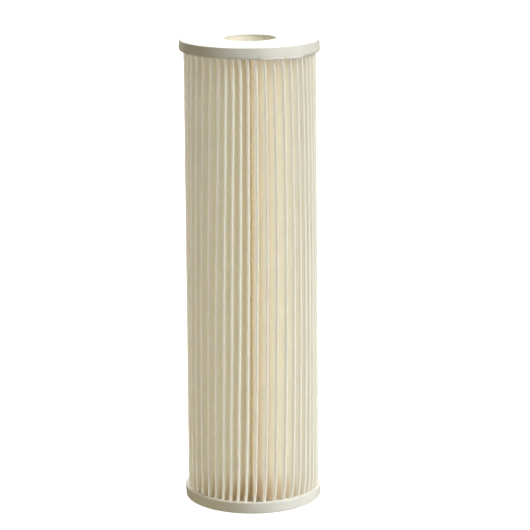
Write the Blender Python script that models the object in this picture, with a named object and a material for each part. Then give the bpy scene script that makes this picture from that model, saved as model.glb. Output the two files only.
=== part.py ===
"""Pleated filter cartridge: a perforated core inside a ring of pleated fabric, closed by two ring end caps.

The cartridge stands on its lower end cap. The origin is the centre of that cap's outer face and +Z runs up the
axis. The sheet's side seam is on the +Y side. Lengths are in metres.
"""

import math

import bmesh
import bpy
from mathutils import Vector

# Overall
LENGTH = 0.24765
FIT_GAP = 0.0003

# End caps: turned rings, outer face down on the lower one and up on the upper one
CAP_HEIGHT = 0.0065
CAP_FACE_RADIUS = 0.0363
CAP_EDGE_RADIUS = 0.0367
CAP_RIM_FILLET = 0.0008
CAP_SKIRT = 0.0011
CAP_WEB = 0.0022
CAP_LIP = 0.0007
LAND_RADIUS = 0.0272
LAND_HEIGHT = 0.0003
BORE_RADIUS = 0.0137
CAP_SEGMENTS = 56

# Core tube: eight columns of windows
CORE_INNER_RADIUS = 0.0139
CORE_WALL = 0.0019
CORE_COLUMNS = 8
CORE_RIB_ANGLE = math.radians(14)
WINDOW_ROWS = 49
WINDOW_PITCH = 0.0047
WINDOW_HEIGHT = 0.0029

# Pleated sheet
PLEATS = 46
CREST_RADIUS = 0.0347
FOLD_RADIUS = 0.0173
SHEET_THICKNESS = 0.0006
BEND_RADIUS = 0.00045
BEND_STEPS = 3
SEAM_ANGLE = math.radians(90)
SEAM_THICKNESS = 0.0005
SEAM_INNER_RADIUS = 0.0222

# Sealing compound: a trough in each cap that the sheet's end stands in
TROUGH_FLOOR = 0.0014
TROUGH_OUTER_LIP = 0.0004
TROUGH_PROUD = 0.0003
TROUGH_SEGMENTS = 40

# Worked out from the sizes above
CORE_OUTER_RADIUS = CORE_INNER_RADIUS + CORE_WALL
CORE_END = CAP_LIP + FIT_GAP
SKIRT_INNER_RADIUS = CAP_EDGE_RADIUS - CAP_SKIRT
TROUGH_BASE = CAP_WEB + FIT_GAP
TROUGH_OUTER_RADIUS = SKIRT_INNER_RADIUS - FIT_GAP
TROUGH_INNER_RADIUS = CORE_OUTER_RADIUS + FIT_GAP
TROUGH_INNER_LIP = FOLD_RADIUS - FIT_GAP - TROUGH_INNER_RADIUS
SHEET_END = TROUGH_BASE + TROUGH_FLOOR + FIT_GAP
BEND_REACH = BEND_RADIUS * math.cos(math.pi / (2 * BEND_STEPS)) + SHEET_THICKNESS / 2


def clear_scene():
    """Removes every object that the file opened with."""
    for obj in list(bpy.data.objects):
        bpy.data.objects.remove(obj, do_unlink=True)


def plain_material(name, colour, roughness):
    """A non-metallic Principled material of one colour."""
    material = bpy.data.materials.new(name)
    material.use_nodes = True
    shader = material.node_tree.nodes["Principled BSDF"]
    shader.inputs["Base Color"].default_value = (*colour, 1.0)
    shader.inputs["Roughness"].default_value = roughness
    shader.inputs["Metallic"].default_value = 0.0
    return material


def object_from(name, mesh_in_making, material, smooth_angle=30.0):
    """Turns a bmesh into a named object with its material, smooth except at edges sharper than the angle."""
    mesh = bpy.data.meshes.new(name)
    mesh_in_making.to_mesh(mesh)
    mesh_in_making.free()
    mesh.shade_smooth()
    mesh.set_sharp_from_angle(angle=math.radians(smooth_angle))
    mesh.materials.append(material)
    obj = bpy.data.objects.new(name, mesh)
    bpy.context.scene.collection.objects.link(obj)
    return obj


def fillet(corner, start, end, steps):
    """Points of the quarter ellipse that rounds a corner, from start to end, where both lie on its two sides."""
    corner, start, end = Vector(corner), Vector(start), Vector(end)
    centre = start + end - corner
    return [
        tuple(centre + (start - centre) * math.cos(t) + (end - centre) * math.sin(t))
        for t in (math.pi / 2 * i / steps for i in range(steps + 1))
    ]


def turned_ring(name, outline, segments, material):
    """Spins a closed outline of (radius, height) points once round the Z axis."""
    made = bmesh.new()
    points = [made.verts.new((radius, 0.0, height)) for radius, height in outline]
    sides = [made.edges.new((a, b)) for a, b in zip(points, points[1:] + points[:1])]
    bmesh.ops.spin(
        made,
        geom=points + sides,
        cent=(0.0, 0.0, 0.0),
        axis=(0.0, 0.0, 1.0),
        angle=2 * math.pi,
        steps=segments,
        use_merge=True,
    )
    bmesh.ops.recalc_face_normals(made, faces=made.faces)
    return object_from(name, made, material)


def standing_at(outline, upper):
    """The outline as drawn for the lower end, or turned over for the upper end."""
    return [(radius, LENGTH - height) for radius, height in outline] if upper else outline


def end_cap(name, upper, material):
    """A shallow pan: outer face with a raised sealing land, filleted rim, skirt, web and a lip under the core."""
    face = LAND_HEIGHT
    outline = [
        (BORE_RADIUS, 0.0),
        (LAND_RADIUS, 0.0),
        (LAND_RADIUS + LAND_HEIGHT, face),
        *fillet(
            corner=(CAP_FACE_RADIUS, face),
            start=(CAP_FACE_RADIUS - CAP_RIM_FILLET, face),
            end=(CAP_FACE_RADIUS, face + CAP_RIM_FILLET),
            steps=3,
        ),
        (CAP_EDGE_RADIUS, CAP_HEIGHT),
        (SKIRT_INNER_RADIUS, CAP_HEIGHT),
        (SKIRT_INNER_RADIUS, CAP_WEB),
        (TROUGH_INNER_RADIUS, CAP_WEB),
        (TROUGH_INNER_RADIUS, CAP_LIP),
        (BORE_RADIUS, CAP_LIP),
    ]
    return turned_ring(name, standing_at(outline, upper), CAP_SEGMENTS, material)


def potting(name, upper, material):
    """A trough of cured compound. Its outer lip stands a little proud of the cap's skirt."""
    floor = TROUGH_BASE + TROUGH_FLOOR
    outer_wall = TROUGH_OUTER_RADIUS - TROUGH_OUTER_LIP
    inner_wall = TROUGH_INNER_RADIUS + TROUGH_INNER_LIP
    outline = [
        (TROUGH_INNER_RADIUS, TROUGH_BASE),
        (TROUGH_OUTER_RADIUS, TROUGH_BASE),
        (TROUGH_OUTER_RADIUS, CAP_HEIGHT + TROUGH_PROUD),
        (outer_wall, CAP_HEIGHT + TROUGH_PROUD),
        (outer_wall, floor),
        (inner_wall, floor),
        (inner_wall, CAP_HEIGHT),
        (TROUGH_INNER_RADIUS, CAP_HEIGHT),
    ]
    return turned_ring(name, standing_at(outline, upper), TROUGH_SEGMENTS, material)


def core_tube(material):
    """A tube with columns of windows: a wall of quads with the windows left open, given its thickness inwards."""
    half_rib = CORE_RIB_ANGLE / 2
    column = 2 * math.pi / CORE_COLUMNS
    angles = [column * i + side * half_rib for i in range(CORE_COLUMNS) for side in (-1, 1)]
    first_window = (LENGTH - (WINDOW_ROWS - 1) * WINDOW_PITCH - WINDOW_HEIGHT) / 2
    heights = [CORE_END]
    for row in range(WINDOW_ROWS):
        sill = first_window + row * WINDOW_PITCH
        heights += [sill, sill + WINDOW_HEIGHT]
    heights.append(LENGTH - CORE_END)

    made = bmesh.new()
    rings = [
        [
            made.verts.new((CORE_OUTER_RADIUS * math.cos(a), CORE_OUTER_RADIUS * math.sin(a), z))
            for a in angles
        ]
        for z in heights
    ]
    for level in range(len(heights) - 1):
        between_bars = level % 2 == 1
        for i in range(len(angles)):
            between_ribs = i % 2 == 1
            if between_bars and between_ribs:
                continue
            j = (i + 1) % len(angles)
            low, high = rings[level], rings[level + 1]
            made.faces.new((low[i], low[j], high[j], high[i]))
    tube = object_from("core_tube", made, material)
    wall = tube.modifiers.new("wall", "SOLIDIFY")
    wall.thickness = CORE_WALL
    wall.offset = -1.0
    wall.use_even_offset = True
    return tube


def polar(radius, angle):
    return Vector((radius * math.cos(angle), radius * math.sin(angle)))


def bend(centre, outward, turning, steps):
    """Points of a half circle about centre, over its outward side. An odd number of steps leaves a flat there."""
    side = turning * Vector((-outward.y, outward.x))
    return [
        centre - BEND_RADIUS * (side * math.cos(t) - outward * math.sin(t))
        for t in (math.pi * i / steps for i in range(steps + 1))
    ]


def pleat_line():
    """Middle line of the sheet seen from above, from one edge at the seam, round every pleat, to the other edge."""
    pitch = 2 * math.pi / PLEATS
    crest_centre = CREST_RADIUS - BEND_REACH
    fold_centre = FOLD_RADIUS + BEND_REACH
    seam_side = SEAM_THICKNESS / 2 + FIT_GAP + SHEET_THICKNESS / 2
    seam_out = polar(1.0, SEAM_ANGLE)
    seam_across = Vector((-seam_out.y, seam_out.x))
    edge = CREST_RADIUS * seam_out

    line = [edge + seam_side * seam_across]
    for i in range(PLEATS):
        fold = SEAM_ANGLE + (i + 0.5) * pitch
        line += bend(polar(fold_centre, fold), -polar(1.0, fold), -1, BEND_STEPS)
        if i < PLEATS - 1:
            crest = SEAM_ANGLE + (i + 1) * pitch
            line += bend(polar(crest_centre, crest), polar(1.0, crest), 1, BEND_STEPS)
    line.append(edge - seam_side * seam_across)
    return line


def pleated_media(material):
    """The pleated sheet: its middle line drawn up into a wall, then given the fabric's thickness on both sides."""
    made = bmesh.new()
    low = [made.verts.new((p.x, p.y, SHEET_END)) for p in pleat_line()]
    bottom = [made.edges.new(pair) for pair in zip(low, low[1:])]
    drawn = bmesh.ops.extrude_edge_only(made, edges=bottom)
    top = [v for v in drawn["geom"] if isinstance(v, bmesh.types.BMVert)]
    bmesh.ops.translate(made, verts=top, vec=(0.0, 0.0, LENGTH - 2 * SHEET_END))
    bmesh.ops.recalc_face_normals(made, faces=made.faces)
    sheet = object_from("pleated_media", made, material, smooth_angle=60.0)
    fabric = sheet.modifiers.new("fabric", "SOLIDIFY")
    fabric.thickness = SHEET_THICKNESS
    fabric.offset = 0.0
    fabric.use_even_offset = True
    return sheet


def media_seam(material):
    """The strip of adhesive that joins the sheet's two edges, face to face, from cap to cap."""
    made = bmesh.new()
    bmesh.ops.create_cube(made, size=1.0)
    radial = CREST_RADIUS - FIT_GAP - SEAM_INNER_RADIUS
    bmesh.ops.scale(made, verts=made.verts, vec=(radial, SEAM_THICKNESS, LENGTH - 2 * SHEET_END))
    bmesh.ops.translate(made, verts=made.verts, vec=(SEAM_INNER_RADIUS + radial / 2, 0.0, LENGTH / 2))
    strip = object_from("media_seam", made, material)
    strip.rotation_euler.z = SEAM_ANGLE
    return strip


def main():
    clear_scene()
    cap_white = plain_material("white_cast_vinyl", (0.83, 0.83, 0.80), 0.42)
    compound = plain_material("cured_sealing_compound", (0.86, 0.85, 0.81), 0.35)
    end_cap("bottom_end_cap", upper=False, material=cap_white)
    end_cap("top_end_cap", upper=True, material=cap_white)
    potting("bottom_potting", upper=False, material=compound)
    potting("top_potting", upper=True, material=compound)
    core_tube(plain_material("moulded_natural_polypropylene", (0.78, 0.72, 0.58), 0.45))
    pleated_media(plain_material("spunbond_polyester", (0.80, 0.75, 0.62), 0.85))
    media_seam(plain_material("hot_melt_adhesive", (0.82, 0.76, 0.58), 0.30))


main()
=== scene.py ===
"""Looks of a pleated filter cartridge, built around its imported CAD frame.

The cartridge stands on its lower cap, +Z up its axis, with its side seam at the back (+Y). Angles called
azimuths are seen from above, start at the front (-Y) and grow to the right (+X). Lengths are in metres.
"""

import logging
import math
from dataclasses import dataclass, field
from enum import Enum

import bpy
import numpy as np
from mathutils import Matrix, Vector
from numpy.typing import NDArray


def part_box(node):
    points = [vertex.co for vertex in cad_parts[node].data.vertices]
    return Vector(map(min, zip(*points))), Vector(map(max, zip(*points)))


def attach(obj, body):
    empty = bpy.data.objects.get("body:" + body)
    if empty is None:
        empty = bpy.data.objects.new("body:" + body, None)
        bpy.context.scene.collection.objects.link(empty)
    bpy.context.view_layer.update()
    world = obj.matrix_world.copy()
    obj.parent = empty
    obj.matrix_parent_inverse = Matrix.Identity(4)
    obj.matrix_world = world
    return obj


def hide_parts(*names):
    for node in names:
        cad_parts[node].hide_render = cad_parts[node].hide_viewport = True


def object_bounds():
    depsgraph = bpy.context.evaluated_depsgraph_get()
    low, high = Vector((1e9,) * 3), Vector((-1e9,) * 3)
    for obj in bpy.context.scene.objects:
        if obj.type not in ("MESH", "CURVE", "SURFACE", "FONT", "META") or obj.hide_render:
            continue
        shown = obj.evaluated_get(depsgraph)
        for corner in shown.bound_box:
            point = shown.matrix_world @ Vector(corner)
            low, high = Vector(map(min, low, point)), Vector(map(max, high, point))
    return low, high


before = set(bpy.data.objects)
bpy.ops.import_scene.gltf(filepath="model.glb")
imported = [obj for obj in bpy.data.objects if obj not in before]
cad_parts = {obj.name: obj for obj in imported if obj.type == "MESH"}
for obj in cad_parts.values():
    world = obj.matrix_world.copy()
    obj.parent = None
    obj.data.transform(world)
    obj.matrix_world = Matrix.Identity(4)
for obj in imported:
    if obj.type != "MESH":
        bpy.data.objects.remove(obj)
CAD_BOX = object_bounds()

Array = NDArray[np.float64]
Colour = tuple[float, float, float, float]
Socket = bpy.types.NodeSocket

MM = 0.001
BODY = "root"
CREST_RADIUS = 34.7 * MM
FOLD_RADIUS = 17.3 * MM
CORE_RADIUS = 15.8 * MM
WINDOW_PITCH = 4.7 * MM
LOG = logging.getLogger("cartridge")


class End(Enum):
    """Which end of the cartridge a piece closes."""

    BOTTOM = "bottom"
    TOP = "top"


# ---------------------------------------------------------------------------------------------------------
# Meshes


def at(radius: Array, azimuth: Array, height: Array) -> Array:
    """Points from cylindrical places.

    Args:
        radius: distance from the axis.
        azimuth: angle in radians from the front, growing to the right.
        height: height above the lower face.

    Returns:
        An array of the three broadcast together, with x, y and z last.
    """
    radius, azimuth, height = np.broadcast_arrays(radius, azimuth, height)
    return np.stack([radius * np.sin(azimuth), -radius * np.cos(azimuth), height], axis=-1)


def ease(value: Array, start: float, end: float) -> Array:
    """Smooth step.

    Args:
        value: where to read it.
        start: the value at and before which it is 0.
        end: the value at and after which it is 1.

    Returns:
        The cubic 3t^2 - 2t^3 of the share t of the way from start to end.
    """
    t = np.clip((value - start) / (end - start), 0.0, 1.0)
    return t * t * (3.0 - 2.0 * t)


def round_noise(azimuth: Array, orders: range, seed: int) -> Array:
    """A wavy line round the axis that closes on itself.

    Args:
        azimuth: angles in radians.
        orders: how many waves fit round the axis, one term for each.
        seed: picks the strengths and phases.

    Returns:
        The sum of one cosine for each order, with strengths that fall with the order, about 1 at its peaks.
    """
    draw = np.random.default_rng(seed)
    order = np.array(list(orders), float)
    strength = draw.uniform(0.4, 1.0, len(order)) / np.sqrt(order / order[0])
    phase = draw.uniform(0.0, 2.0 * np.pi, len(order))
    waves = np.cos(azimuth[..., None] * order + phase) @ strength
    return waves / np.abs(strength).sum() * 1.8


def grid_faces(
    rows: int, columns: int, wrap_rows: bool = False, wrap_columns: bool = False
) -> NDArray[np.int64]:
    """Quads between the points of a grid that is numbered row by row.

    Args:
        rows: how many rows of points.
        columns: how many points in each.
        wrap_rows: whether the last row meets the first.
        wrap_columns: whether the last column meets the first.

    Returns:
        One row of four point numbers for each quad.
    """
    row = np.arange(rows if wrap_rows else rows - 1)[:, None]
    column = np.arange(columns if wrap_columns else columns - 1)[None, :]
    next_row, next_column = (row + 1) % rows, (column + 1) % columns
    corners = [
        row * columns + column,
        row * columns + next_column,
        next_row * columns + next_column,
        next_row * columns + column,
    ]
    return np.stack(corners, axis=-1).reshape(-1, 4)


def mesh_object(
    name: str, points: Array, faces: NDArray[np.int64], sharp_angle: float = 40.0
) -> bpy.types.Object:
    """Puts a quad mesh into the scene, with its place in its points.

    Args:
        name: the object's name.
        points: one row of x, y and z for each point.
        faces: one row of four point numbers for each quad.
        sharp_angle: edges that turn by more than this many degrees stay sharp.

    Returns:
        The new object, at the origin.
    """
    mesh = bpy.data.meshes.new(name)
    mesh.vertices.add(len(points))
    mesh.vertices.foreach_set("co", np.ascontiguousarray(points, np.float32).ravel())
    mesh.loops.add(faces.size)
    mesh.loops.foreach_set("vertex_index", faces.astype(np.int32).ravel())
    mesh.polygons.add(len(faces))
    mesh.polygons.foreach_set("loop_start", np.arange(0, faces.size, 4, dtype=np.int32))
    mesh.update(calc_edges=True)
    mesh.validate()
    mesh.shade_smooth()
    mesh.set_sharp_from_angle(angle=math.radians(sharp_angle))
    made = bpy.data.objects.new(name, mesh)
    bpy.context.scene.collection.objects.link(made)
    return made


def ring_object(
    name: str, radius: Array, azimuth: Array, height: Array, sharp_angle: float = 40.0
) -> bpy.types.Object:
    """A closed ring: an outline carried once round the axis.

    Args:
        name: the object's name.
        radius: distance from the axis, one row for each outline point and one column for each azimuth.
        azimuth: the columns' angles, once round with no repeat.
        height: heights, as radius.
        sharp_angle: edges that turn by more than this many degrees stay sharp.

    Returns:
        The new object. Its faces point out where the outline runs anticlockwise, radius to the right.
    """
    points = at(radius, azimuth[None, :], height)
    faces = grid_faces(len(radius), len(azimuth), wrap_rows=True, wrap_columns=True)
    return mesh_object(name, points.reshape(-1, 3), faces, sharp_angle)


def dress(
    piece: bpy.types.Object, material: bpy.types.Material, slot: str, *nodes: str
) -> bpy.types.Object:
    """Gives a piece its material and its place in the frame.

    Args:
        piece: the finished piece.
        material: what it is made of.
        slot: the name of the record's material slot for the piece; not used.
        nodes: the CAD nodes that it stands for.

    Returns:
        The piece.
    """
    piece.data.materials.clear()
    piece.data.materials.append(material)
    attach(piece, BODY)
    if nodes:
        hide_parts(*nodes)
    LOG.info("%s: %d faces", piece.name, len(piece.data.polygons))
    return piece


# ---------------------------------------------------------------------------------------------------------
# Finishes


def colour(code: str) -> Colour:
    """Linear colour with full alpha from an sRGB hex code such as F2EFE4."""
    parts = [int(code[i : i + 2], 16) / 255.0 for i in (0, 2, 4)]
    linear = [c / 12.92 if c <= 0.04045 else ((c + 0.055) / 1.055) ** 2.4 for c in parts]
    return (*linear, 1.0)


def add_node(tree: bpy.types.NodeTree, kind: str, values: dict, links: dict, **settings) -> bpy.types.Node:
    """Adds a shader node.

    Args:
        tree: the material's node tree.
        kind: the node's type name.
        values: input name or number to the constant it holds.
        links: input name or number to the socket that feeds it.
        settings: the node's own properties.

    Returns:
        The new node.
    """
    node = tree.nodes.new(kind)
    for name, value in settings.items():
        setattr(node, name, value)
    for name, value in values.items():
        node.inputs[name].default_value = value
    for name, socket in links.items():
        tree.links.new(socket, node.inputs[name])
    return node


def set_ramp(node: bpy.types.Node, stops: list[tuple[float, Colour]]) -> Socket:
    """Sets a colour ramp's stops.

    Args:
        node: the ramp.
        stops: places from 0 to 1, in order, each with its linear colour.

    Returns:
        The ramp's colour socket.
    """
    elements = node.color_ramp.elements
    while len(elements) < len(stops):
        elements.new(0.5)
    for element, (place, shade) in zip(elements, stops):
        element.position = place
        element.color = shade
    return node.outputs["Color"]


def start_material(name: str) -> tuple[bpy.types.Material, bpy.types.NodeTree, bpy.types.Node]:
    """A new material, with its node tree and its shader."""
    material = bpy.data.materials.new(name)
    material.use_nodes = True
    return material, material.node_tree, material.node_tree.nodes["Principled BSDF"]


def set_inputs(shader: bpy.types.Node, values: dict) -> None:
    """Sets constants on the shader's own inputs, by their names."""
    for name, value in values.items():
        shader.inputs[name].default_value = value


def remap(
    tree: bpy.types.NodeTree,
    value: Socket,
    old: tuple[float, float],
    new: tuple[float, float] = (0.0, 1.0),
    interpolation: str = "LINEAR",
) -> Socket:
    """Carries a value from one range to another, clamped at both ends."""
    limits = {"From Min": old[0], "From Max": old[1], "To Min": new[0], "To Max": new[1]}
    settings = {"interpolation_type": interpolation}
    return add_node(tree, "ShaderNodeMapRange", limits, {"Value": value}, **settings).outputs["Result"]


def combine(tree: bpy.types.NodeTree, operation: str, first: Socket, second: Socket) -> Socket:
    """Joins two values by a Math node's operation."""
    made = add_node(tree, "ShaderNodeMath", {}, {0: first, 1: second}, operation=operation)
    return made.outputs["Value"]


def tint(tree: bpy.types.NodeTree, share: Socket, under: Socket, over: str) -> Socket:
    """Mixes a share of a hex colour over a colour socket."""
    values, links = {"B": colour(over)}, {"Factor": share, "A": under}
    return add_node(tree, "ShaderNodeMix", values, links, data_type="RGBA").outputs["Result"]


def finish_surface(
    tree: bpy.types.NodeTree,
    shade: tuple[Socket, list[tuple[float, Colour]]],
    gloss: tuple[Socket, float, float],
    relief: tuple[Socket, float, float],
    under: Socket | None = None,
) -> None:
    """Wires what every moulded or poured finish has: a clouded colour, an uneven gloss and a soft relief.

    Args:
        tree: the material's node tree.
        shade: the noise for the colour, and the ramp's stops.
        gloss: the noise for the roughness, and the roughness at its low and its high end.
        relief: the noise for the bump, its strength and its depth.
        under: the normal of a coarser relief below this one.
    """
    shader = tree.nodes["Principled BSDF"]
    ramp = add_node(tree, "ShaderNodeValToRGB", {}, {"Fac": shade[0]})
    tree.links.new(set_ramp(ramp, shade[1]), shader.inputs["Base Color"])
    tree.links.new(remap(tree, gloss[0], (0.0, 1.0), gloss[1:]), shader.inputs["Roughness"])
    feeds = {"Height": relief[0]} if under is None else {"Height": relief[0], "Normal": under}
    bump = add_node(tree, "ShaderNodeBump", {"Strength": relief[1], "Distance": relief[2]}, feeds)
    tree.links.new(bump.outputs["Normal"], shader.inputs["Normal"])


@dataclass(frozen=True)
class CastVinyl:
    """White PVC plastisol, poured into an open tray and heat cured: satin, with a soft orange-peel skin.

    The eye sees an even white with a broad soft highlight, fine level lines from the pour round its side,
    and a slightly warm body where light gets into it.
    """

    name: str = "white_cast_vinyl_plastisol"
    white: str = "F1F3EE"
    warm: str = "E9EAE2"
    roughness: float = 0.38
    ior: float = 1.53
    cloud_mm: float = 14
    peel_mm: float = 1.6
    pour_line_mm: float = 0.9

    def make(self) -> bpy.types.Material:
        """Builds the material.

        Returns:
            The material, on Object coordinates.
        """
        material, tree, shader = start_material(self.name)
        place = add_node(tree, "ShaderNodeTexCoord", {}, {}).outputs["Object"]
        skin = {"Scale": 1 / (self.cloud_mm * MM), "Detail": 3.0, "Roughness": 0.55}
        cloud = add_node(tree, "ShaderNodeTexNoise", skin, {"Vector": place}).outputs["Fac"]

        # Level lines of the pour: noise that is stretched round the cap by flattening its height.
        flat = add_node(tree, "ShaderNodeMapping", {"Scale": (0.06, 0.06, 1.0)}, {"Vector": place})
        level = {"Scale": 1 / (self.pour_line_mm * MM), "Detail": 2.0, "Roughness": 0.5}
        lines = add_node(tree, "ShaderNodeTexNoise", level, {"Vector": flat.outputs[0]}).outputs["Fac"]
        line_bump = add_node(
            tree, "ShaderNodeBump", {"Strength": 0.5, "Distance": 0.05 * MM}, {"Height": lines}
        )
        orange = {"Scale": 1 / (self.peel_mm * MM), "Detail": 2.0, "Roughness": 0.45}
        peel = add_node(tree, "ShaderNodeTexNoise", orange, {"Vector": place}).outputs["Fac"]
        finish_surface(
            tree,
            shade=(cloud, [(0.35, colour(self.warm)), (0.62, colour(self.white))]),
            gloss=(lines, self.roughness - 0.05, self.roughness + 0.07),
            relief=(peel, 0.6, 0.04 * MM),
            under=line_bump.outputs["Normal"],
        )
        constants = {
            "IOR": self.ior,
            "Metallic": 0.0,
            "Subsurface Weight": 0.12,
            "Subsurface Radius": (1.0, 0.85, 0.6),
            "Subsurface Scale": 1.2 * MM,
        }
        set_inputs(shader, constants)
        return material


@dataclass(frozen=True)
class CuredCompound:
    """Sealing compound, poured between the pleats and cured: whiter and glossier than the caps.

    The eye sees cream where it is thin and white where it is thick, under small frozen ripples.
    """

    name: str = "white_cured_sealing_compound"
    white: str = "FBFBF8"
    thin: str = "F1EDE0"
    roughness: float = 0.28
    ior: float = 1.5
    cloud_mm: float = 4
    ripple_mm: float = 0.8

    def make(self) -> bpy.types.Material:
        """Builds the material.

        Returns:
            The material, on Object coordinates.
        """
        material, tree, shader = start_material(self.name)
        place = add_node(tree, "ShaderNodeTexCoord", {}, {}).outputs["Object"]
        thick = {"Scale": 1 / (self.cloud_mm * MM), "Detail": 3.0}
        cloud = add_node(tree, "ShaderNodeTexNoise", thick, {"Vector": place}).outputs["Fac"]
        frozen = {"Scale": 1 / (self.ripple_mm * MM), "Detail": 1.0}
        ripple = add_node(tree, "ShaderNodeTexNoise", frozen, {"Vector": place}).outputs["Fac"]
        finish_surface(
            tree,
            shade=(cloud, [(0.3, colour(self.thin)), (0.5, colour(self.white))]),
            gloss=(cloud, self.roughness - 0.06, self.roughness + 0.12),
            relief=(ripple, 0.5, 0.08 * MM),
        )
        set_inputs(shader, {"IOR": self.ior, "Metallic": 0.0})
        return material


@dataclass(frozen=True)
class SpunbondPolyester:
    """Spunbond polyester, calendered and scored into pleats: cream, dull, with fibres that catch light.

    The eye sees grey-white crests and a warmer, lighter cream down in the valleys. Both are painted light:
    painted shade on the crests and painted bounce light in the valleys. It also has faint streaks along the
    pleats, and light coming through the thin web.
    """

    name: str = "cream_spunbond_polyester"
    # The crest, leg and valley tones paint light: a greyer crest as painted shade, a warmer and lighter
    # valley as painted bounce light.
    crest: str = "E9E9E1"
    leg: str = "F2F2E8"
    lit_valley: str = "F8F0D6"
    fleck: str = "DDD2B4"
    # Painted shade deep in the pleats near both caps: its tone, and the heights over which it fades.
    cap_shade_tone: str = "C4A66C"
    # Painted shadow of the core's bars on the inner folds, with painted light over its windows.
    bar_shadow_tone: str = "E6D3A8"
    bar_pitch: float = WINDOW_PITCH
    bar_middle: float = 123.825 * MM
    cap_shade_low: tuple[float, float] = (6.5 * MM, 22.0 * MM)
    cap_shade_high: tuple[float, float] = (216.0 * MM, 243.0 * MM)
    roughness: float = 0.78
    ior: float = 1.57
    fibre_mm: float = 0.45
    streak_mm: float = 0.7
    cloud_mm: float = 7
    crest_radius: float = CREST_RADIUS
    fold_radius: float = FOLD_RADIUS

    def make(self) -> bpy.types.Material:
        """Builds the material.

        Returns:
            The material. Its fibres and streaks lie on the sheet's own UV map, in metres of flat fabric.
        """
        material, tree, shader = start_material(self.name)
        coordinates = add_node(tree, "ShaderNodeTexCoord", {}, {})
        place, flat = coordinates.outputs["Object"], coordinates.outputs["UV"]

        # Depth into the pleat, 0 at the crest and 1 at the inner fold, from the distance to the axis.
        across = add_node(
            tree, "ShaderNodeVectorMath", {1: (1.0, 1.0, 0.0)}, {0: place}, operation="MULTIPLY"
        )
        radius = add_node(
            tree, "ShaderNodeVectorMath", {}, {0: across.outputs["Vector"]}, operation="LENGTH"
        )
        depth = remap(tree, radius.outputs["Value"], (self.crest_radius, self.fold_radius))
        # Painted light by depth: greyer on the crests as painted shade, warmer and lighter towards the
        # inner fold as painted bounce light.
        shade = add_node(tree, "ShaderNodeValToRGB", {}, {"Fac": depth})
        stops = [(0.0, colour(self.crest)), (0.07, colour(self.leg)), (1.0, colour(self.lit_valley))]
        body = set_ramp(shade, stops)

        # Painted shade: deep in the pleats near both caps the web is painted darker and warmer, for the
        # shade there.
        height = add_node(tree, "ShaderNodeSeparateXYZ", {}, {"Vector": place}).outputs["Z"]
        low = remap(tree, height, self.cap_shade_low, (0.52, 0.0), "SMOOTHSTEP")
        high = remap(tree, height, self.cap_shade_high, (0.0, 0.12), "SMOOTHSTEP")
        ends = combine(tree, "MAXIMUM", low, high)
        cap_shade_share = combine(tree, "MULTIPLY", ends, remap(tree, depth, (0.03, 0.15)))
        cap_shaded = tint(tree, cap_shade_share, body, self.cap_shade_tone)

        # Painted shadow and painted light: deep in the inner folds the web is darker where a bar of the
        # core backs it, as that bar's shadow, and lighter over the core's windows, as the light coming
        # through them.
        turns = 2.0 * math.pi / self.bar_pitch
        wave = add_node(
            tree,
            "ShaderNodeMath",
            {1: turns, 2: -turns * self.bar_middle},
            {0: height},
            operation="MULTIPLY_ADD",
        )
        bars = add_node(tree, "ShaderNodeMath", {}, {0: wave.outputs["Value"]}, operation="COSINE")
        bar_shadow_wave = remap(tree, bars.outputs["Value"], (0.8, -0.4), (0.0, 0.42))
        bar_shadow_share = combine(tree, "MULTIPLY", bar_shadow_wave, remap(tree, depth, (0.7, 0.92)))
        bar_shadowed = tint(tree, bar_shadow_share, cap_shaded, self.bar_shadow_tone)

        # Streaks along the pleats: noise on the flat fabric, drawn out 30 times along the pleat.
        drawn = add_node(tree, "ShaderNodeMapping", {"Scale": (1.0, 1.0 / 30.0, 1.0)}, {"Vector": flat})
        lines = {"Scale": 1 / (self.streak_mm * MM), "Detail": 3.0, "Roughness": 0.6}
        streak = add_node(tree, "ShaderNodeTexNoise", lines, {"Vector": drawn.outputs[0]}).outputs["Fac"]
        # Web clouding: spunbond is thicker in some places than in others.
        thick = {"Scale": 1 / (self.cloud_mm * MM), "Detail": 4.0, "Roughness": 0.6}
        cloud = add_node(tree, "ShaderNodeTexNoise", thick, {"Vector": flat}).outputs["Fac"]
        share = remap(tree, combine(tree, "MULTIPLY", streak, cloud), (0.12, 0.42), (0.2, 0.0))
        tree.links.new(tint(tree, share, bar_shadowed, self.fleck), shader.inputs["Base Color"])

        # Fibres are 0.02 mm thick. Their tangle is drawn 20 times as coarse, so that it shows as a nap.
        tangle = {"Scale": 1 / (self.fibre_mm * MM), "Detail": 4.0, "Roughness": 0.7, "Distortion": 1.5}
        fibre = add_node(tree, "ShaderNodeTexNoise", tangle, {"Vector": flat}).outputs["Fac"]
        nap = add_node(tree, "ShaderNodeBump", {"Strength": 0.55, "Distance": 0.06 * MM}, {"Height": fibre})
        ironed = add_node(
            tree,
            "ShaderNodeBump",
            {"Strength": 0.6, "Distance": 0.12 * MM},
            {"Height": streak, "Normal": nap.outputs["Normal"]},
        )
        tree.links.new(ironed.outputs["Normal"], shader.inputs["Normal"])
        dull = remap(tree, fibre, (0.0, 1.0), (self.roughness - 0.1, self.roughness + 0.1))
        tree.links.new(dull, shader.inputs["Roughness"])
        constants = {
            "IOR": self.ior,
            "Metallic": 0.0,
            "Sheen Weight": 0.05,
            "Sheen Roughness": 0.5,
            "Subsurface Weight": 0.2,
            "Subsurface Radius": (1.0, 0.85, 0.6),
            "Subsurface Scale": 0.5 * MM,
        }
        set_inputs(shader, constants)
        return material


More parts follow.
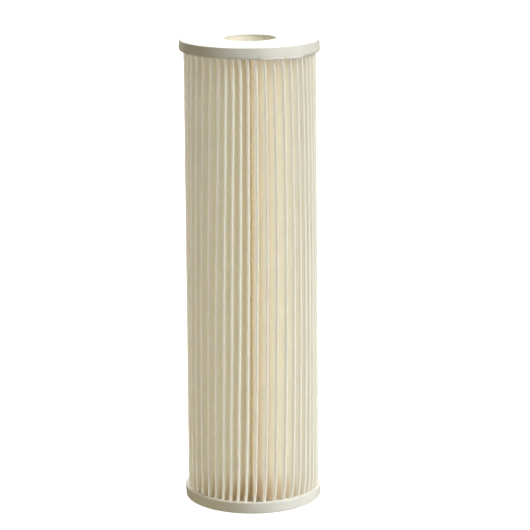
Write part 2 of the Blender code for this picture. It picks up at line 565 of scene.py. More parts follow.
@dataclass(frozen=True)
class NaturalPolypropylene:
    """Unpigmented polypropylene, injection moulded: milky, a little waxy, with flow marks along it."""

    name: str = "natural_moulded_polypropylene"
    milky: str = "F6F1E2"
    amber: str = "EEE6D0"
    roughness: float = 0.42
    ior: float = 1.49
    flow_mm: float = 2

    def make(self) -> bpy.types.Material:
        """Builds the material.

        Returns:
            The material, on Object coordinates.
        """
        material, tree, shader = start_material(self.name)
        place = add_node(tree, "ShaderNodeTexCoord", {}, {}).outputs["Object"]
        # Flow marks are drawn out 12 times along the tube.
        drawn = add_node(tree, "ShaderNodeMapping", {"Scale": (1.0, 1.0, 1.0 / 12.0)}, {"Vector": place})
        marks = {"Scale": 1 / (self.flow_mm * MM), "Detail": 2.0}
        flow = add_node(tree, "ShaderNodeTexNoise", marks, {"Vector": drawn.outputs[0]}).outputs["Fac"]
        finish_surface(
            tree,
            shade=(flow, [(0.3, colour(self.amber)), (0.6, colour(self.milky))]),
            gloss=(flow, self.roughness - 0.08, self.roughness + 0.08),
            relief=(flow, 0.4, 0.05 * MM),
        )
        constants = {
            "IOR": self.ior,
            "Metallic": 0.0,
            "Subsurface Weight": 0.3,
            "Subsurface Radius": (1.0, 0.8, 0.5),
            "Subsurface Scale": 1.5 * MM,
        }
        set_inputs(shader, constants)
        return material


@dataclass(frozen=True)
class HotMelt:
    """Hot-melt adhesive, pressed between the sheet's edges: glossy, honey-white, with frozen ripples."""

    name: str = "honey_hot_melt_adhesive"
    pale: str = "EDE2C2"
    honey: str = "D9C290"
    roughness: float = 0.2
    ior: float = 1.48
    run_mm: float = 3

    def make(self) -> bpy.types.Material:
        """Builds the material.

        Returns:
            The material, on Object coordinates.
        """
        material, tree, shader = start_material(self.name)
        place = add_node(tree, "ShaderNodeTexCoord", {}, {}).outputs["Object"]
        runs = {"Scale": 1 / (self.run_mm * MM), "Detail": 2.0}
        run = add_node(tree, "ShaderNodeTexNoise", runs, {"Vector": place}).outputs["Fac"]
        finish_surface(
            tree,
            shade=(run, [(0.35, colour(self.honey)), (0.6, colour(self.pale))]),
            gloss=(run, self.roughness, self.roughness + 0.15),
            relief=(run, 0.5, 0.1 * MM),
        )
        set_inputs(shader, {"IOR": self.ior, "Metallic": 0.0})
        return material


# ---------------------------------------------------------------------------------------------------------
# Pieces


@dataclass(frozen=True)
class Sway:
    """How far the crests drift sideways at one height, in degrees.

    The even part moves them all alike, and the spread part moves the two sides apart.
    """

    even: float
    spread: float

    def at(self, azimuth: Array) -> Array:
        """Drift round the axis.

        Args:
            azimuth: where to read it, in radians.

        Returns:
            Even + spread sin(a), in radians, all of it faded out towards the seam by (1 + cos(a)) / 2.
        """
        waves = self.even + self.spread * np.sin(azimuth)
        return np.radians(waves) * (0.5 + 0.5 * np.cos(azimuth))


@dataclass
class PleatedSheet:
    """The filter sheet: one length of fabric, folded round the core and bonded at its two edges."""

    crest_radius: float
    low: float
    high: float
    pleats: int = 46
    fold_radius: float = FOLD_RADIUS
    thickness: float = 0.6 * MM
    bend_radius: float = 0.45 * MM
    seam_half_gap: float = 0.85 * MM
    crest_points: int = 7
    fold_points: int = 5
    leg_points: int = 3
    levels: int = 56
    bunching: float = math.radians(1.5)
    bunching_order: int = 5
    bunching_start: float = math.radians(4.0)
    lower_sway: Sway = Sway(-4.0, 1.0)
    middle_sway: Sway = Sway(-0.5, 2.0)
    upper_sway: Sway = Sway(1.0, -5.0)
    sideways: float = 0.45 * MM
    lower_radius: float = 35.3 * MM
    upper_radius: float = 34.45 * MM
    tucked_radius: float = 34.9 * MM
    jitter: float = math.radians(0.12)
    wander: float = math.radians(0.18)
    wobble: float = 0.03 * MM
    unevenness: float = 0.12 * MM
    held_end: float = 1.5 * MM
    free_end: float = 9.0 * MM
    edge_inset: float = 0.15 * MM
    seed: int = 7

    def heights(self) -> Array:
        """Heights of the rows of points, from the lower end to the upper."""
        return np.linspace(self.low, self.high, self.levels)

    def crest_azimuths(self, height: Array) -> Array:
        """Where each crest is at each height.

        Even spacing, bunched by a cosine of five turns, moved sideways along a parabola through the sways
        at the lower end, the middle and the upper end, and then moved a little more by each pleat's own
        slow wander.

        Args:
            height: heights to read.

        Returns:
            Azimuths in radians, a row for each height and a column for each crest. The first and the last
            column are the sheet's two edges, at the seam.
        """
        even = np.linspace(-np.pi, np.pi, self.pleats + 1)
        bunched = -self.bunching * np.cos(self.bunching_order * (even - self.bunching_start))
        inner = np.sin(np.linspace(0.0, np.pi, self.pleats + 1)) ** 0.5
        draw = np.random.default_rng(self.seed)
        own = draw.uniform(-self.jitter, self.jitter, self.pleats + 1) * inner
        base = even + bunched - bunched[0] + own

        t = ((height - self.low) / (self.high - self.low))[:, None]
        sways = (self.lower_sway, self.middle_sway, self.upper_sway)
        lower, middle, upper = (sway.at(even)[None, :] for sway in sways)
        drift = lower * (1 - t) * (1 - 2 * t) + middle * 4 * t * (1 - t) + upper * t * (2 * t - 1)

        turns = draw.uniform(0.6, 2.4, (3, self.pleats + 1))
        phase = draw.uniform(0.0, 2.0 * np.pi, (3, self.pleats + 1))
        turned = 2.0 * np.pi * t
        slow = np.cos(turned * turns[0] + phase[0]) + 0.6 * np.cos(turned * (turns[1] + 1.5) + phase[1])
        fine = np.cos(turned * (turns[2] + 7.0) + phase[2]) + np.cos(turned * (turns[0] + 12.0) + phase[1])
        moved = (0.6 * self.wander * slow + self.wobble / self.crest_radius * fine) * inner
        return base[None, :] + drift + moved

    def middle_line(self, height: Array) -> Array:
        """The line in the middle of the fabric's thickness, seen from above, at each height.

        A half circle over each crest, a half circle under each inner fold, and legs between them that bow
        by a sine of the way along. The crests' radius grows a little towards the lower end. In front, the
        whole outer part is shifted sideways by the square of its share of the crests' radius.

        Args:
            height: heights to read.

        Returns:
            An array of heights by points along the sheet by x and y.
        """
        crest = self.crest_azimuths(height)
        fold = 0.5 * (crest[:, :-1] + crest[:, 1:])
        draw = np.random.default_rng(self.seed + 1)
        own = draw.uniform(-1.0, 1.0, self.pleats + 1) * self.unevenness
        t = ((height - self.low) / (self.high - self.low))[:, None]
        outer = self.lower_radius + (self.upper_radius - self.lower_radius) * t + own[None, :]
        from_end = np.minimum(height - self.low, self.high - height)
        free = ease(from_end, self.held_end, self.free_end)[:, None]
        outer = np.minimum(outer, self.tucked_radius) * (1 - free) + outer * free
        crest_centre = outer - self.bend_radius - self.thickness / 2
        fold_centre = self.fold_radius + self.bend_radius + self.thickness / 2

        def bend(centre_radius: Array, azimuth: Array, outward: float, count: int) -> Array:
            """Points of half circles, from left to right: outward is 1 over a crest and -1 under a fold."""
            turn = np.linspace(np.pi, 0.0, count)
            along = self.bend_radius * np.cos(turn)
            out = outward * self.bend_radius * np.sin(turn)
            radial = np.stack([np.sin(azimuth), -np.cos(azimuth)], axis=-1)[..., None, :]
            tangent = np.stack([np.cos(azimuth), np.sin(azimuth)], axis=-1)[..., None, :]
            centre = np.broadcast_to(centre_radius, azimuth.shape)[..., None, None] * radial
            return centre + along[:, None] * tangent + out[:, None] * radial

        folds = bend(np.asarray(fold_centre), fold, -1.0, self.fold_points)
        crests = bend(crest_centre[:, 1:-1], crest[:, 1:-1], 1.0, self.crest_points)
        edge_out = self.crest_radius - self.edge_inset

        def edge(azimuth: Array, side: float) -> Array:
            """The sheet's edge: at the crest's radius, half the seam's gap to one side of its azimuth."""
            radial = np.stack([np.sin(azimuth), -np.cos(azimuth)], axis=-1)
            tangent = np.stack([np.cos(azimuth), np.sin(azimuth)], axis=-1)
            return edge_out * radial + side * self.seam_half_gap * tangent

        first, last = edge(crest[:, 0], 1.0), edge(crest[:, -1], -1.0)
        starts = np.concatenate([first[:, None], crests[:, :, -1]], axis=1)
        ends = np.concatenate([crests[:, :, 0], last[:, None]], axis=1)
        share = np.linspace(0.0, 1.0, self.leg_points + 2)[1:-1]
        bow = draw.uniform(-1.0, 1.0, (2, self.pleats)) * self.unevenness
        beat = draw.uniform(0.5, 1.6, (2, self.pleats))
        bows = bow[:, None, :] * np.cos(2.0 * np.pi * beat[:, None, :] * t[None, :, :])

        def leg(start: Array, end: Array, bowed: Array) -> Array:
            """Points between start and end, moved sideways by bowed times a half sine of the way along."""
            along = (end - start)[..., None, :] * share[:, None] + start[..., None, :]
            way = end - start
            side = np.stack([-way[..., 1], way[..., 0]], axis=-1)
            side = side / np.linalg.norm(side, axis=-1, keepdims=True)
            return along + (bowed[..., None] * np.sin(np.pi * share))[..., None] * side[..., None, :]

        inward = leg(starts, folds[:, :, 0], bows[0])
        outward = leg(folds[:, :, -1], ends, bows[1])
        tips = np.concatenate([crests, last[:, None, None].repeat(self.crest_points, axis=2)], axis=1)
        pleat = np.concatenate([inward, folds, outward, tips], axis=2)
        rows = pleat.reshape(len(height), -1, 2)
        line = np.concatenate([first[:, None], rows], axis=1)
        line = line[:, : line.shape[1] - self.crest_points + 1]
        away = np.linalg.norm(line, axis=-1)
        in_front = 0.5 - 0.5 * line[..., 1] / away
        line[..., 0] += self.sideways * free * in_front * (away / self.crest_radius) ** 2
        return line

    def flat_length(self) -> float:
        """Length of the fabric before it was folded: the middle line's length at half height."""
        line = self.middle_line(np.array([(self.low + self.high) / 2]))[0]
        return float(np.linalg.norm(np.diff(line, axis=0), axis=1).sum())

    def make(
        self, material: bpy.types.Material, seam: bpy.types.Object, potting: list[str]
    ) -> bpy.types.Object:
        """Builds the sheet as a closed skin, half the fabric's thickness to each side of its middle line.

        Args:
            material: the fabric.
            seam: the piece that joins its edges; not used.
            potting: names of the pieces that hold its ends; not used.

        Returns:
            The sheet.
        """
        height = self.heights()
        line = self.middle_line(height)
        way = np.gradient(line, axis=1)
        across = np.stack([way[..., 1], -way[..., 0]], axis=-1)
        across = across / np.linalg.norm(across, axis=-1, keepdims=True) * self.thickness / 2
        loop = np.concatenate([line + across, (line - across)[:, ::-1]], axis=1)
        levels, around = loop.shape[:2]
        count = around // 2
        points = np.concatenate([loop, np.broadcast_to(height[:, None, None], (levels, around, 1))], axis=2)
        sides = grid_faces(levels, around, wrap_columns=True)
        here = np.arange(count - 1)
        strip = np.stack([here, here + 1, around - 2 - here, around - 1 - here], axis=-1)
        faces = np.concatenate([sides, strip[:, ::-1], strip + (levels - 1) * around])
        sheet = mesh_object("pleated_fabric", points.reshape(-1, 3), faces, sharp_angle=75.0)

        step = np.linalg.norm(np.diff(line[levels // 2], axis=0), axis=1)
        run = np.concatenate([[0.0], np.cumsum(step)])
        along = np.concatenate([run, run[::-1]])
        flat = np.stack(np.broadcast_arrays(along[None, :], height[:, None]), axis=-1).reshape(-1, 2)
        uv = sheet.data.uv_layers.new(name="Flat")
        corner = np.empty(len(sheet.data.loops), np.int32)
        sheet.data.loops.foreach_get("vertex_index", corner)
        uv.data.foreach_set("uv", flat[corner].astype(np.float32).ravel())

        dress(sheet, material, "media_fabric", "pleated_media")
        size = (self.high - self.low, self.flat_length())
        LOG.info("flat fabric: %.3f by %.3f m", *size)
        return sheet


@dataclass
class SideSeam:
    """The strip of hot melt between the sheet's two edges, with a bead pressed out along the outside."""

    sheet: PleatedSheet
    inner_radius: float
    half_thickness: float = 0.5 * MM
    bead: float = 0.55 * MM
    bead_inset: float = 0.25 * MM
    bead_depth: float = 1.2 * MM
    ripple_lengths: tuple[float, float, float] = (17 * MM, 6.7 * MM, 2.9 * MM)
    ripple_strengths: tuple[float, float, float] = (1.0, 1.0, 0.6)
    across_points: int = 16
    levels: int = 160

    def make(self, material: bpy.types.Material) -> bpy.types.Object:
        """Builds the strip: an upright closed outline, thin inside and rounded to a bead at the outside.

        The bead's width and reach follow sums of sines of the height, so that it looks squeezed and not
        drawn.

        Args:
            material: the adhesive.

        Returns:
            The strip.
        """
        sheet = self.sheet
        height = np.linspace(sheet.low, sheet.high, self.levels)
        azimuth = sheet.crest_azimuths(height)[:, 0]
        phase = np.arange(3.0)
        ripple = np.sin(height[:, None] * 2 * np.pi / self.ripple_lengths + phase) @ self.ripple_strengths
        swell = self.bead * (1.0 + 0.22 * ripple)
        # Outline: up one face of the strip, round the bead, and down the other face.
        turn = np.linspace(-0.5 * np.pi, 0.5 * np.pi, self.across_points)
        tip = sheet.crest_radius - self.bead_inset
        out = tip + 0.45 * swell[:, None] * np.cos(turn)
        side = (self.half_thickness + swell[:, None] * 0.5) * np.sin(turn)
        start = np.broadcast_to(np.array([[self.inner_radius, tip - self.bead_depth]]), (self.levels, 2))
        narrow = np.broadcast_to(np.array([[-self.half_thickness * 0.5] * 2]), (self.levels, 2))
        radial = np.concatenate([start, out, start[:, ::-1]], axis=1)
        lateral = np.concatenate([narrow, side, -narrow], axis=1)
        points = np.stack(
            [
                radial * np.sin(azimuth[:, None]) + lateral * np.cos(azimuth[:, None]),
                -radial * np.cos(azimuth[:, None]) + lateral * np.sin(azimuth[:, None]),
                np.broadcast_to(height[:, None], radial.shape),
            ],
            axis=-1,
        )
        around = radial.shape[1]
        faces = grid_faces(self.levels, around, wrap_columns=True)
        half = np.arange(around // 2 - 1)
        strip = np.stack([half, half + 1, around - 2 - half, around - 1 - half], axis=-1)
        faces = np.concatenate([faces, strip[:, ::-1], strip + (self.levels - 1) * around])
        seam = mesh_object("side_seam_hot_melt", points.reshape(-1, 3), faces)
        return dress(seam, material, "seam_adhesive", "media_seam")


@dataclass
class EndCap:
    """One cast end cap: a shallow pan with a bore, a raised sealing land, a round rim and a small draft."""

    end: End
    length: float
    height: float
    edge_radius: float
    bore_radius: float = 13.7 * MM
    face_radius: float = 36.3 * MM
    land_radius: float = 27.2 * MM
    land_height: float = 0.3 * MM
    rim_round: float = 0.8 * MM
    edge_round: float = 0.7 * MM
    edge_roll: float = 1.6 * MM
    edge_tilt: float = 0.55 * MM
    side_margin: float = 0.08 * MM
    bore_round: float = 0.9 * MM
    skirt: float = 1.1 * MM
    web: float = 2.2 * MM
    lip: float = 1.0 * MM
    pocket_radius: float = 16.1 * MM
    out_of_round: float = 0.05 * MM
    edge_wave: float = 0.06 * MM
    film: float = 0.09 * MM
    film_height: float = 1.25 * MM
    film_start: tuple[float, float] = (0.55, 0.8)
    film_end: tuple[float, float] = (1.9, 2.3)
    columns: int = 240

    def outline(self) -> Array:
        """The cap's outline as radius and height, from the bore's edge out along the face and back in."""

        def corner(radius: float, height: float, size: float, start: float, count: int) -> Array:
            """Points of a quarter circle of that size about a centre, from a start in quarter turns."""
            turn = (start + np.linspace(0.0, 1.0, count)) * np.pi / 2
            return np.stack([radius + size * np.cos(turn), height + size * np.sin(turn)], axis=-1)

        face = self.land_height
        land = np.linspace(self.bore_radius + 2 * MM, self.land_radius - 1 * MM, 6)
        outer_face = np.linspace(self.land_radius + 2 * MM, self.face_radius - 2 * MM, 4)
        widest = self.edge_radius - self.side_margin
        inside = self.edge_radius - self.skirt
        roll = np.linspace(0.0, 0.5 * np.pi, 9)
        parts = [
            [[self.bore_radius, self.lip]],
            corner(self.bore_radius + self.bore_round, self.bore_round, self.bore_round, 2.0, 6),
            np.stack([land, np.zeros(6)], axis=-1),
            [
                [self.land_radius - 0.3 * MM, 0.0],
                [self.land_radius, 0.1 * face],
                [self.land_radius + 0.2 * MM, 0.75 * face],
                [self.land_radius + 0.45 * MM, face],
            ],
            np.stack([outer_face, np.full(4, face)], axis=-1),
            corner(self.face_radius - self.rim_round, face + self.rim_round, self.rim_round, 3.0, 8),
            np.stack(
                [
                    np.linspace(self.face_radius, widest, 14)[1:-1],
                    np.linspace(face + self.rim_round, self.height - self.edge_roll, 14)[1:-1],
                ],
                axis=-1,
            ),
            np.stack(
                [
                    widest - self.edge_round * (1.0 - np.cos(roll)),
                    self.height - self.edge_roll * (1.0 - np.sin(roll)),
                ],
                axis=-1,
            ),
            [[inside, self.height - 0.1 * MM]],
            [[inside, self.web + 0.3 * MM], [inside - 0.3 * MM, self.web]],
            [[self.pocket_radius, self.web], [self.pocket_radius, self.lip]],
        ]
        return np.concatenate([np.asarray(part, float) for part in parts])

    def make(self, material: bpy.types.Material) -> bpy.types.Object:
        """Carries the outline round the axis and gives the casting its small unevenness.

        The side is a little out of round and the open edge a little wavy. The upper cap's open edge is
        tilted: its height falls by a sine of the azimuth. A thin film of overflow on its right ends in a
        step above that edge.

        Args:
            material: the vinyl.

        Returns:
            The cap.
        """
        outline = self.outline()
        azimuth = np.linspace(-np.pi, np.pi, self.columns, endpoint=False)
        radius = np.repeat(outline[:, :1], self.columns, axis=1)
        height = np.repeat(outline[:, 1:], self.columns, axis=1)
        seed = 11 if self.end is End.TOP else 23
        on_side = ease(radius, self.face_radius - 0.6 * MM, self.face_radius)
        on_side = on_side * ease(height, 0.8 * MM, 2.0 * MM)
        radius = radius + on_side * self.out_of_round * round_noise(azimuth, range(2, 9), seed)
        at_edge = ease(height, self.height - 1.2 * MM, self.height)
        height = height + at_edge * self.edge_wave * round_noise(azimuth, range(5, 40), seed + 1)
        if self.end is End.TOP:
            tilted = ease(height, 0.5 * self.height, self.height) * self.edge_tilt
            height = height + tilted * np.sin(azimuth)
            span = ease(azimuth, *self.film_start) * (1.0 - ease(azimuth, *self.film_end))
            step = self.height - self.film_height
            film = ease(height, step - 0.25 * MM, step)
            radius = radius + on_side * film * span * self.film
        radius = np.minimum(radius, self.edge_radius)
        if self.end is End.TOP:
            height = self.length - height
            radius, height = radius[::-1], height[::-1]
        cap = ring_object(f"{self.end.value}_cap_casting", radius, azimuth, height)
        return dress(cap, material, "cap_vinyl", f"{self.end.value}_end_cap")


@dataclass
class Potting:
    """Cured compound in a cap's trough, which climbs the fabric in a meniscus."""

    end: End
    length: float
    sheet: PleatedSheet
    inner_radius: float
    outer_radius: float
    base: float
    level: float
    climb: float = 0.9 * MM
    climb_width: float = 0.5 * MM
    wall_climb: float = 0.5 * MM
    wave: float = 0.12 * MM
    columns: int = 736
    rings: int = 34

    def make(self, material: bpy.types.Material) -> bpy.types.Object:
        """Builds the ring: a flat underside, plain walls, and an upper surface.

        That surface is a height over radius and azimuth: the level, plus climb times exp(-distance to the
        fabric / climb width), plus the same for the two walls, plus small waves.

        Args:
            material: the compound.

        Returns:
            The ring.
        """
        azimuth = np.linspace(-np.pi, np.pi, self.columns, endpoint=False)
        radius = np.linspace(self.inner_radius, self.outer_radius, self.rings)
        at_height = self.level if self.end is End.BOTTOM else self.length - self.level
        line = self.sheet.middle_line(np.array([at_height]))[0]
        surface = at(radius[:, None], azimuth[None, :], np.zeros((1, 1)))[..., :2]
        nearest = np.stack([np.linalg.norm(row[:, None] - line, axis=-1).min(axis=1) for row in surface])
        near = np.maximum(nearest - self.sheet.thickness / 2, 0.0)
        wall = np.minimum(radius - self.inner_radius, self.outer_radius - radius)[:, None]
        seed = 31 if self.end is End.TOP else 37
        waves = self.wave * round_noise(azimuth, range(3, 30), seed)[None, :]
        height = self.level + self.climb * np.exp(-near / self.climb_width) + waves
        height = height + self.wall_climb * np.exp(-wall / self.climb_width)
        ring_radius = np.repeat(radius[:, None], self.columns, axis=1)
        walls = np.array([[self.outer_radius], [self.inner_radius]])
        under_radius = walls.repeat(self.columns, axis=1)
        under = np.full((2, self.columns), self.base)
        radii = np.concatenate([ring_radius[::-1], under_radius[::-1]])
        heights = np.concatenate([height[::-1], under[::-1]])
        if self.end is End.TOP:
            radii, heights = radii[::-1], self.length - heights[::-1]
        ring = ring_object(f"{self.end.value}_compound", radii, azimuth, heights)
        return dress(ring, material, "sealing_compound", f"{self.end.value}_potting")


@dataclass
class SqueezeOut:
    """The ragged line of compound that was pressed out between a cap's open edge and the crests."""

    end: End
    length: float
    cap_height: float
    limit: float
    middle_radius: float = 35.2 * MM
    reach: float = 0.75 * MM
    heavy_reach: float = 0.72 * MM
    half_height: float = 0.5 * MM
    heavy_half_height: float = 0.75 * MM
    heavy_from: float = math.radians(6)
    heavy_to: float = math.radians(52)
    least_half_height: float = 0.15 * MM
    tuck: float = 0.22 * MM
    lower_reach: float = 0.6
    lower_height: float = 0.8
    edge_tilt: float = 0.55 * MM
    columns: int = 1440
    profile_points: int = 16

    def make(self, material: bpy.types.Material) -> bpy.types.Object:
        """Builds the bead: an ellipse carried round the cap's edge, its reach and height a noise of angle.

        Between heavy_from and heavy_to the upper bead bulges out past the cap's rolled edge, as where the
        cap was pressed on harder. Elsewhere it shows only as a thin line under that edge. The lower bead is
        smaller, by the two shares that are named for it, and stays inside its cap's edge.

        Args:
            material: the compound.

        Returns:
            The bead.
        """
        azimuth = np.linspace(-np.pi, np.pi, self.columns, endpoint=False)
        upper = self.end is End.TOP
        seed = 41 if upper else 43
        slow = round_noise(azimuth, range(4, 24), seed)
        quick = round_noise(azimuth, range(30, 150), seed + 1)
        heavy = np.zeros(self.columns)
        if upper:
            heavy = ease(azimuth, self.heavy_from, self.heavy_from + 0.12)
            heavy = heavy * (1.0 - ease(azimuth, self.heavy_to - 0.1, self.heavy_to))
        half = self.half_height * (0.9 + 0.3 * slow + 0.9 * quick)
        half = half + self.heavy_half_height * heavy * (1 + 0.9 * quick)
        half = np.maximum(half, self.least_half_height)
        reach = self.reach * (1.1 + 0.15 * slow + 0.3 * quick)
        reach = reach + self.heavy_reach * heavy * (1 + 0.15 * quick)
        reach = np.minimum(reach, self.limit - self.middle_radius)
        if not upper:
            reach, half = reach * self.lower_reach, half * self.lower_height
        turn = np.linspace(0.0, 2.0 * np.pi, self.profile_points, endpoint=False)[:, None]
        radii = self.middle_radius + reach[None, :] * np.cos(turn)
        centre = self.cap_height - self.tuck * (1.0 + 1.4 * heavy)
        if upper:
            centre = centre + self.edge_tilt * np.sin(azimuth)
        heights = centre + half[None, :] * np.sin(turn)
        if upper:
            radii, heights = radii[::-1], self.length - heights[::-1]
        bead = ring_object(f"{self.end.value}_squeeze_out", radii, azimuth, heights, sharp_angle=80.0)
        return dress(bead, material, "sealing_compound")


@dataclass
class CoreTube:
    """The perforated tube: columns of windows between upright ribs and level bars, with plain collars."""

    low: float
    high: float
    outer_radius: float
    wall: float = 1.9 * MM
    window_columns: int = 8
    window_rows: int = 49
    pitch: float = WINDOW_PITCH
    window_height: float = 2.9 * MM
    rib_angle: float = math.radians(14)
    cells: int = 7
    rib_cells: int = 2

    def make(self, material: bpy.types.Material) -> bpy.types.Object:
        """Builds the outer wall as a grid with the windows left out.

        Solidify gives the grid its wall, and Bevel its edges.

        Args:
            material: the polypropylene.

        Returns:
            The tube.
        """
        column = 2.0 * np.pi / self.window_columns
        rib = np.linspace(-self.rib_angle / 2, self.rib_angle / 2, self.rib_cells, endpoint=False)
        gap = np.linspace(self.rib_angle / 2, column - self.rib_angle / 2, self.cells, endpoint=False)
        cell = np.concatenate([rib, gap])
        azimuth = (np.arange(self.window_columns)[:, None] * column + cell[None, :]).ravel()
        first = (self.low + self.high - (self.window_rows - 1) * self.pitch - self.window_height) / 2
        sills = first + np.arange(self.window_rows) * self.pitch
        edges = np.stack([sills, sills + self.window_height], axis=1).ravel()
        heights = np.concatenate([[self.low], edges, [self.high]])
        points = at(self.outer_radius, azimuth[None, :], heights[:, None]).reshape(-1, 3)
        faces = grid_faces(len(heights), len(azimuth), wrap_columns=True)
        level = np.repeat(np.arange(len(heights) - 1), len(azimuth))
        place = np.tile(np.arange(len(azimuth)) % len(cell), len(heights) - 1)
        open_here = (level % 2 == 1) & (place >= self.rib_cells)
        tube = mesh_object("core_moulding", points, faces[~open_here])
        solid = tube.modifiers.new("wall", "SOLIDIFY")
        solid.thickness = self.wall
        solid.offset = -1.0
        solid.use_even_offset = True
        rounded = tube.modifiers.new("edges", "BEVEL")
        rounded.width = 0.18 * MM
        rounded.segments = 1
        rounded.limit_method = "ANGLE"
        rounded.angle_limit = math.radians(50)
        return dress(tube, material, "core_polypropylene", "core_tube")


# ---------------------------------------------------------------------------------------------------------
# Stage


@dataclass(frozen=True)
class SoftLight:
    """A rectangular soft box, aimed at a point, placed by azimuth and elevation as seen from that point."""

    name: str
    azimuth: float
    elevation: float
    distance: float
    size: tuple[float, float]
    power: float
    tint: str = "FFFFFF"

    def make(self, aim: Vector) -> bpy.types.Object:
        """Adds the light.

        Args:
            aim: the point it faces.

        Returns:
            The light.
        """
        lamp = bpy.data.lights.new(self.name, "AREA")
        lamp.shape = "RECTANGLE"
        lamp.size, lamp.size_y = self.size
        lamp.energy = self.power
        lamp.color = colour(self.tint)[:3]
        light = bpy.data.objects.new(self.name, lamp)
        bpy.context.scene.collection.objects.link(light)
        way = direction(self.azimuth, self.elevation)
        light.location = aim + way * self.distance
        light.rotation_euler = way.to_track_quat("Z", "Y").to_euler()
        return light


def direction(azimuth: float, elevation: float) -> Vector:
    """Unit vector towards an azimuth from the front and an elevation above level, both in degrees."""
    a, e = math.radians(azimuth), math.radians(elevation)
    return Vector((math.sin(a) * math.cos(e), -math.cos(a) * math.cos(e), math.sin(e)))


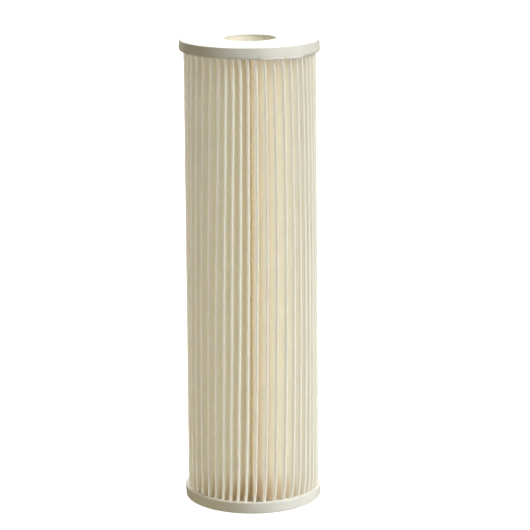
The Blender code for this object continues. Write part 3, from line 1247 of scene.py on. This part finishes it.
@dataclass
class Studio:
    """A pale floor, a white surround, soft boxes and the camera."""

    length: float
    fabric: bpy.types.Object
    core: bpy.types.Object
    floor_side: float = 14.0
    elevation: float = 13.4
    distance: float = 1.25
    lens: float = 160.36
    aim_right: float = 7.2 * MM
    aim_up: float = 2.52 * MM
    roll: float = -0.47
    lights: tuple[SoftLight, ...] = (
        SoftLight("key", azimuth=60, elevation=8, distance=1.6, size=(0.5, 1.0), power=3.8),
        SoftLight("front", azimuth=30, elevation=8, distance=1.6, size=(0.5, 1.0), power=3.4),
        SoftLight("high", azimuth=60, elevation=45, distance=1.6, size=(0.6, 0.6), power=13.2),
        SoftLight("high_back", azimuth=180, elevation=68, distance=1.6, size=(0.6, 0.6), power=28),
        SoftLight(
            "left_back", azimuth=-142, elevation=8, distance=1.6, size=(0.5, 1.0), power=1.5, tint="FFF8FA"
        ),
    )
    table_light: tuple[SoftLight, ...] = (
        SoftLight("table_right", azimuth=62, elevation=-28, distance=0.25, size=(0.16, 0.1), power=0.14),
        SoftLight(
            "table_left",
            azimuth=-62,
            elevation=-28,
            distance=0.25,
            size=(0.16, 0.1),
            power=0.13,
            tint="FFEBC0",
        ),
    )
    bore_light: SoftLight = SoftLight(
        "bore", azimuth=-28, elevation=50, distance=0.8, size=(0.3, 0.3), power=0.65
    )
    crest_light: SoftLight = SoftLight(
        "crest", azimuth=-75, elevation=4, distance=0.8, size=(0.2, 0.6), power=0.6, tint="F2FAFF"
    )
    web_light: tuple[SoftLight, ...] = (
        SoftLight("web_front", azimuth=-3, elevation=0, distance=0.5, size=(0.25, 0.6), power=0.25),
        SoftLight(
            "web_left_front",
            azimuth=-60,
            elevation=0,
            distance=0.5,
            size=(0.25, 0.6),
            power=0.42,
            tint="FFFAF6",
        ),
        SoftLight(
            "web_left", azimuth=-100, elevation=0, distance=0.5, size=(0.25, 0.6), power=0.31, tint="FFF0EE"
        ),
        SoftLight("web_back_left", azimuth=-150, elevation=5, distance=0.5, size=(0.25, 0.6), power=0.26),
        SoftLight("web_back_right", azimuth=150, elevation=5, distance=0.5, size=(0.25, 0.6), power=0.16),
    )

    def make(self) -> None:
        """Builds the floor, the surround, the lights and the camera."""
        self.make_floor()
        self.make_surround()
        middle = Vector((0.0, 0.0, self.length / 2))
        for light in (*self.lights, *self.table_light):
            light.make(middle)
        # A white web passes light on from pleat to pleat. The web lights stand for it: they reach the
        # fabric alone, and pass through its folds. The crest light also reaches the fabric alone, but its
        # folds shade each other. The bore light stands for what the room sends down the bore.
        web = bpy.data.collections.new("web")
        web.objects.link(self.fabric)
        bore = bpy.data.collections.new("bore")
        bore.objects.link(self.core)
        self.bore_light.make(middle).light_linking.receiver_collection = bore
        self.crest_light.make(middle).light_linking.receiver_collection = web
        for light in self.web_light:
            glow = light.make(middle)
            glow.data.use_shadow = False
            glow.data.cycles.use_multiple_importance_sampling = False
            glow.light_linking.receiver_collection = web
        self.make_camera(middle)
        bpy.context.scene.view_settings.view_transform = "Standard"

    def make_floor(self) -> None:
        """Adds the floor, which glows a little so that it stays pale far from the lights."""
        half = self.floor_side / 2
        corners = np.array([[-half, -half, 0], [half, -half, 0], [half, half, 0], [-half, half, 0]], float)
        floor = mesh_object("floor", corners, np.array([[0, 1, 2, 3]]))
        material, _, shader = start_material("pale_matt_floor")
        constants = {
            "Base Color": colour("DADADA"),
            "Roughness": 1.0,
            "Specular IOR Level": 0.0,
            "Emission Color": colour("FFFFFF"),
            "Emission Strength": 1.0,
        }
        set_inputs(shader, constants)
        floor.data.materials.append(material)
        floor.visible_diffuse = False
        floor.visible_glossy = False

    def make_surround(self) -> None:
        """Makes the world: white where the camera looks past the floor, and a dim warm fill otherwise."""
        world = bpy.data.worlds.new("surround")
        world.use_nodes = True
        tree = world.node_tree
        tree.nodes.clear()
        fill = add_node(tree, "ShaderNodeBackground", {"Color": colour("FFF0CE"), "Strength": 0.2}, {})
        white = add_node(tree, "ShaderNodeBackground", {"Color": colour("FFFFFF"), "Strength": 1.0}, {})
        path = add_node(tree, "ShaderNodeLightPath", {}, {})
        mixed = add_node(
            tree,
            "ShaderNodeMixShader",
            {},
            {0: path.outputs["Is Camera Ray"], 1: fill.outputs[0], 2: white.outputs[0]},
        )
        add_node(tree, "ShaderNodeOutputWorld", {}, {"Surface": mixed.outputs["Shader"]})
        bpy.context.scene.world = world

    def make_camera(self, middle: Vector) -> None:
        """Adds the camera, in front and a little above, aimed slightly to the right and rolled a little.

        Args:
            middle: the middle of the cartridge.
        """
        way = direction(0.0, self.elevation)
        up = direction(0.0, self.elevation + 90.0)
        aim = middle + Vector((self.aim_right, 0.0, 0.0)) + up * self.aim_up
        camera = bpy.data.objects.new("camera", bpy.data.cameras.new("camera"))
        camera.data.lens = self.lens
        camera.data.sensor_width = 36.0
        camera.data.clip_start = 0.05
        camera.location = aim + way * self.distance
        turned = way.to_track_quat("Z", "Y").to_matrix().to_4x4()
        roll = Matrix.Rotation(math.radians(self.roll), 4, "Z")
        camera.rotation_euler = (turned @ roll).to_euler()
        bpy.context.scene.collection.objects.link(camera)
        bpy.context.scene.camera = camera


@dataclass
class Cartridge:
    """The whole cartridge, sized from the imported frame."""

    length: float = field(default_factory=lambda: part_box("top_end_cap")[1].z)

    def make(self) -> tuple[bpy.types.Object, bpy.types.Object]:
        """Builds every piece in order.

        Returns:
            The pleated fabric and the core.
        """
        media_low, media_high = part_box("pleated_media")
        core_low, core_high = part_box("core_tube")
        cap_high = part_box("bottom_end_cap")[1]
        trough_low, trough_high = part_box("bottom_potting")
        vinyl, compound = CastVinyl().make(), CuredCompound().make()
        sheet = PleatedSheet(crest_radius=CREST_RADIUS, low=media_low.z, high=media_high.z)
        caps = (
            EndCap(
                End.BOTTOM, self.length, cap_high.z, cap_high.x, edge_round=0.3 * MM, edge_roll=0.6 * MM
            ),
            EndCap(End.TOP, self.length, cap_high.z, cap_high.x),
        )
        for cap in caps:
            cap.make(vinyl)
            Potting(
                cap.end,
                self.length,
                sheet,
                inner_radius=CORE_RADIUS + 0.1 * MM,
                outer_radius=trough_high.x + 0.2 * MM,
                base=trough_low.z,
                level=trough_low.z + 2.0 * MM,
            ).make(compound)
            SqueezeOut(cap.end, self.length, cap_high.z, limit=cap_high.x - 0.02 * MM).make(compound)
        core = CoreTube(core_low.z, core_high.z, CORE_RADIUS).make(NaturalPolypropylene().make())
        seam = SideSeam(sheet, inner_radius=22.2 * MM).make(HotMelt().make())
        return sheet.make(SpunbondPolyester().make(), seam, ["bottom_compound", "top_compound"]), core


def main() -> None:
    """Builds the cartridge and its stage."""
    logging.basicConfig(level=logging.INFO, format="%(name)s: %(message)s")
    fabric, core = Cartridge().make()
    Studio(length=CAD_BOX[1][2], fabric=fabric, core=core).make()


if __name__ == "__main__":
    main()
